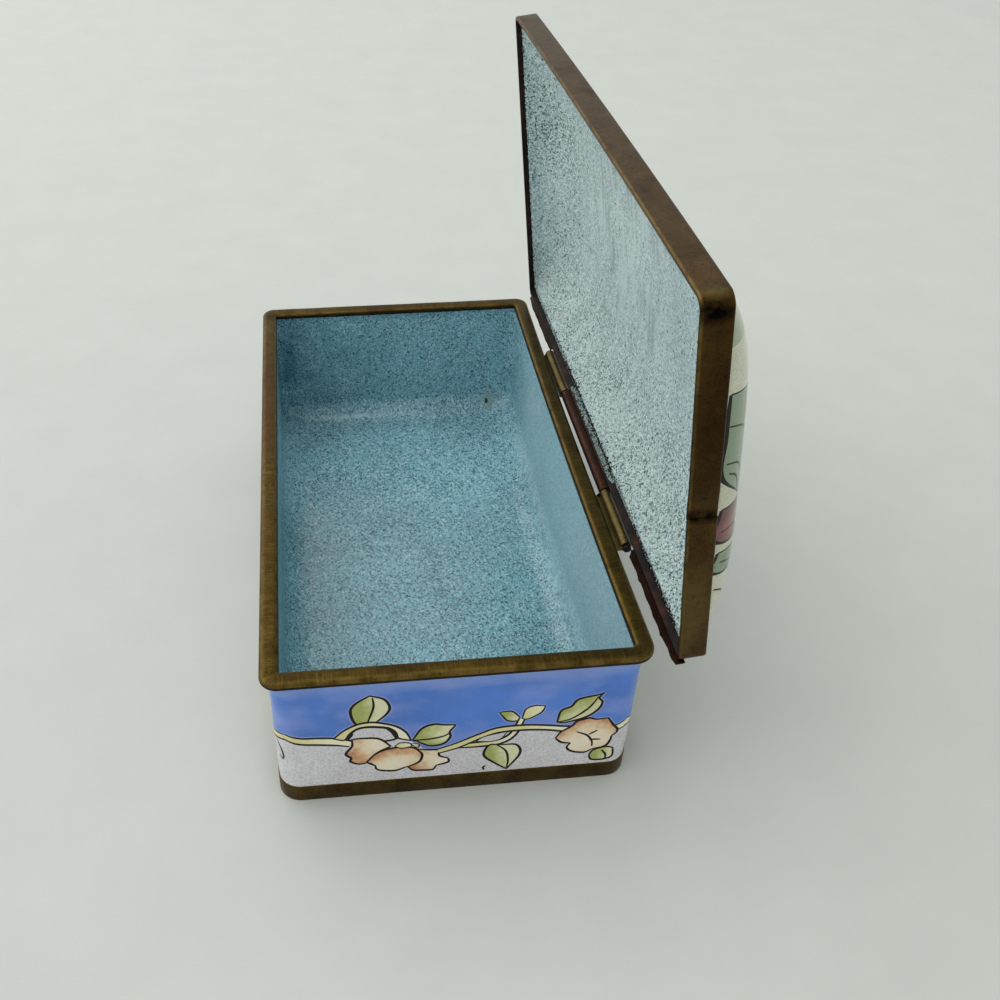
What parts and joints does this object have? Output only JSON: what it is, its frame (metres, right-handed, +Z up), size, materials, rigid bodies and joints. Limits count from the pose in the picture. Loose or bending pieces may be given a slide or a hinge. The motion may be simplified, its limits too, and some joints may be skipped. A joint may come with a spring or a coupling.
{
  "type": "enamelled trinket box",
  "caption": "Small rectangular box of enamelled copper bound in aged brass, with a pillow-shaped lid standing open on a back hinge.",
  "frame": {"origin": "middle of the tray's flat underside, on the surface that the box stands on", "axes": "+X along the hinge and the box's length, +Y towards the hinge side, +Z up; the lid stands open at rest"},
  "size_m": [0.1101, 0.0684, 0.0889],
  "materials": {
    "tray_enamel": "glossy painted enamel outside, speckled enamel inside",
    "mouth_rim_brass": "aged, satin",
    "foot_band_brass": "dark patina, satin",
    "base_knuckle_brass": "aged, satin",
    "hinge_pin_wire": "dark",
    "lid_knuckle_brass": "reddish brown patina",
    "lid_band_brass": "dark patina, satin",
    "lid_enamel": "glossy painted enamel outside, speckled enamel inside"
  },
  "bodies": {
    "box": {"enamelled_copper_tray": "tray_enamel", "brass_mouth_rim": "mouth_rim_brass", "brass_foot_band": "foot_band_brass", "far_base_knuckle": "base_knuckle_brass", "near_base_knuckle": "base_knuckle_brass", "hinge_pin": "hinge_pin_wire"},
    "lid": {"lid_hinge_knuckle": "lid_knuckle_brass", "brass_lid_band": "lid_band_brass", "enamelled_lid_panel": "lid_enamel"}
  },
  "joints": [
    {"name": "lid_hinge", "type": "hinge", "parent": "box", "child": "lid", "pos_m": [0, 0.03, 0.0282], "axis": [-1, -0.0087, 0], "range_deg": [-83, 0]}
  ]
}
